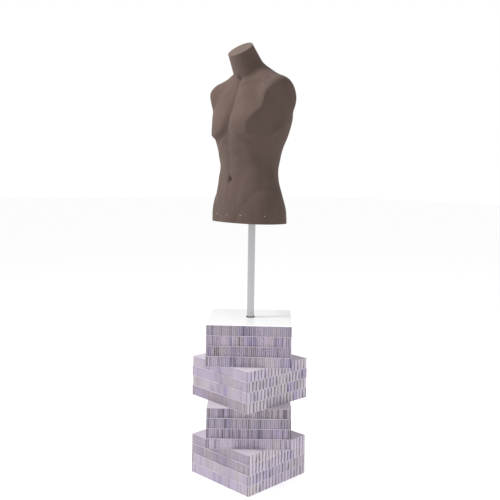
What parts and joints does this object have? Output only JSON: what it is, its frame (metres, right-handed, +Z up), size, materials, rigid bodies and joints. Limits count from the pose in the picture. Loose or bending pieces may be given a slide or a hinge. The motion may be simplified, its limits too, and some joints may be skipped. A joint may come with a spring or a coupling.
{
  "type": "male torso display form on a block stand",
  "caption": "Headless, armless male display torso that turns and rises on a pole, on a stack of turned honeycomb-board blocks.",
  "frame": {"origin": "on the pole's axis, at the floor, under the middle of the block stack", "axes": "+Z up along the pole; the torso faces -Y; +X is the torso's own left"},
  "size_m": [0.4518, 0.4518, 1.6829],
  "materials": {
    "paper_core": "matt grey-lilac honeycomb paper",
    "paper_liner": "matt white liner board",
    "paper_tube": "wound paper tube, unfinished",
    "top_sheet": "polished white acrylic sheet",
    "base_steel": "light grey powder coat",
    "foot_rubber": "soft black rubber",
    "fastener_steel": "zinc-plated steel",
    "pole_steel": "satin brushed, clear coated",
    "grommet_rubber": "matt black rubber",
    "bush_plastic": "natural nylon",
    "collar_steel": "turned steel",
    "pad_brass": "turned brass",
    "knob_plastic": "matt black moulded plastic",
    "tube_steel": "chromed steel tube",
    "torso_flock": "moulded shell with a short taupe flock coat",
    "neck_finish": "moulded cap with a short taupe flock coat",
    "hip_wood": "unfinished birch plywood",
    "pin_steel": "bright panel pins",
    "socket_metal": "black enamel"
  },
  "bodies": {
    "base": {"block_1_core_1": "paper_core", "block_1_core_2": "paper_core", "block_1_core_3": "paper_core", "block_1_core_4": "paper_core", "block_1_liners": "paper_liner", "block_1_sleeve": "paper_tube", "base_plate": "base_steel", "foot_pads": "foot_rubber", "foot_bolt": "fastener_steel", "pole_foot_plug": "fastener_steel", "pole_tube": "pole_steel", "pole_grommet": "grommet_rubber", "guide_bush": "bush_plastic", "clamp_collar": "collar_steel"},
    "block_2": {"block_2_core_1": "paper_core", "block_2_core_2": "paper_core", "block_2_core_3": "paper_core", "block_2_core_4": "paper_core", "block_2_liners": "paper_liner", "block_2_sleeve": "paper_tube"},
    "block_3": {"block_3_core_1": "paper_core", "block_3_core_2": "paper_core", "block_3_core_3": "paper_core", "block_3_core_4": "paper_core", "block_3_liners": "paper_liner", "block_3_sleeve": "paper_tube"},
    "block_4": {"block_4_core_1": "paper_core", "block_4_core_2": "paper_core", "block_4_core_3": "paper_core", "block_4_core_4": "paper_core", "block_4_liners": "paper_liner", "block_4_sleeve": "paper_tube", "top_plate": "top_sheet"},
    "clamp_pad": {"clamp_pad": "pad_brass"},
    "clamp_knob": {"clamp_screw": "fastener_steel", "clamp_knob": "knob_plastic"},
    "rise_tube": {"rise_tube": "tube_steel", "rise_top_plug": "bush_plastic", "rise_stop_ring": "bush_plastic", "rise_lower_bush": "bush_plastic"},
    "torso": {"shell_front": "torso_flock", "shell_back": "torso_flock", "neck_cap": "neck_finish", "neck_plug": "bush_plastic", "hip_board": "hip_wood", "rim_pins": "pin_steel", "flange_screws": "fastener_steel", "socket_flange": "socket_metal", "socket_tube": "socket_metal", "socket_cap": "socket_metal", "thrust_pad": "bush_plastic", "socket_bush_lower": "bush_plastic", "socket_bush_upper": "bush_plastic"}
  },
  "joints": [
    {"name": "block_2_turn", "type": "hinge", "parent": "base", "child": "block_2", "pos_m": [0, 0, 0.158], "axis": [0, 0, 1], "continuous": true},
    {"name": "block_3_turn", "type": "hinge", "parent": "base", "child": "block_3", "pos_m": [0, 0, 0.316], "axis": [0, 0, 1], "continuous": true},
    {"name": "block_4_turn", "type": "hinge", "parent": "base", "child": "block_4", "pos_m": [0, 0, 0.474], "axis": [0, 0, 1], "continuous": true},
    {"name": "rise_slide", "type": "slide", "parent": "base", "child": "rise_tube", "axis": [0, 0, 1], "range_m": [0, 0.25]},
    {"name": "torso_turn", "type": "hinge", "parent": "rise_tube", "child": "torso", "pos_m": [0, 0, 1.187], "axis": [0, 0, 1], "continuous": true},
    {"name": "clamp_pad_travel", "type": "slide", "parent": "base", "child": "clamp_pad", "axis": [0, 1, 0], "range_m": [0, 0.002]},
    {"name": "clamp_knob_turn", "type": "hinge", "parent": "clamp_pad", "child": "clamp_knob", "pos_m": [0, 0.028, 1.016], "axis": [0, 1, 0], "range_deg": [0, 720]}
  ],
  "couplings": [
    {"joint": "clamp_pad_travel", "follows": "clamp_knob_turn", "m_per_rad": 0.00015915}
  ]
}
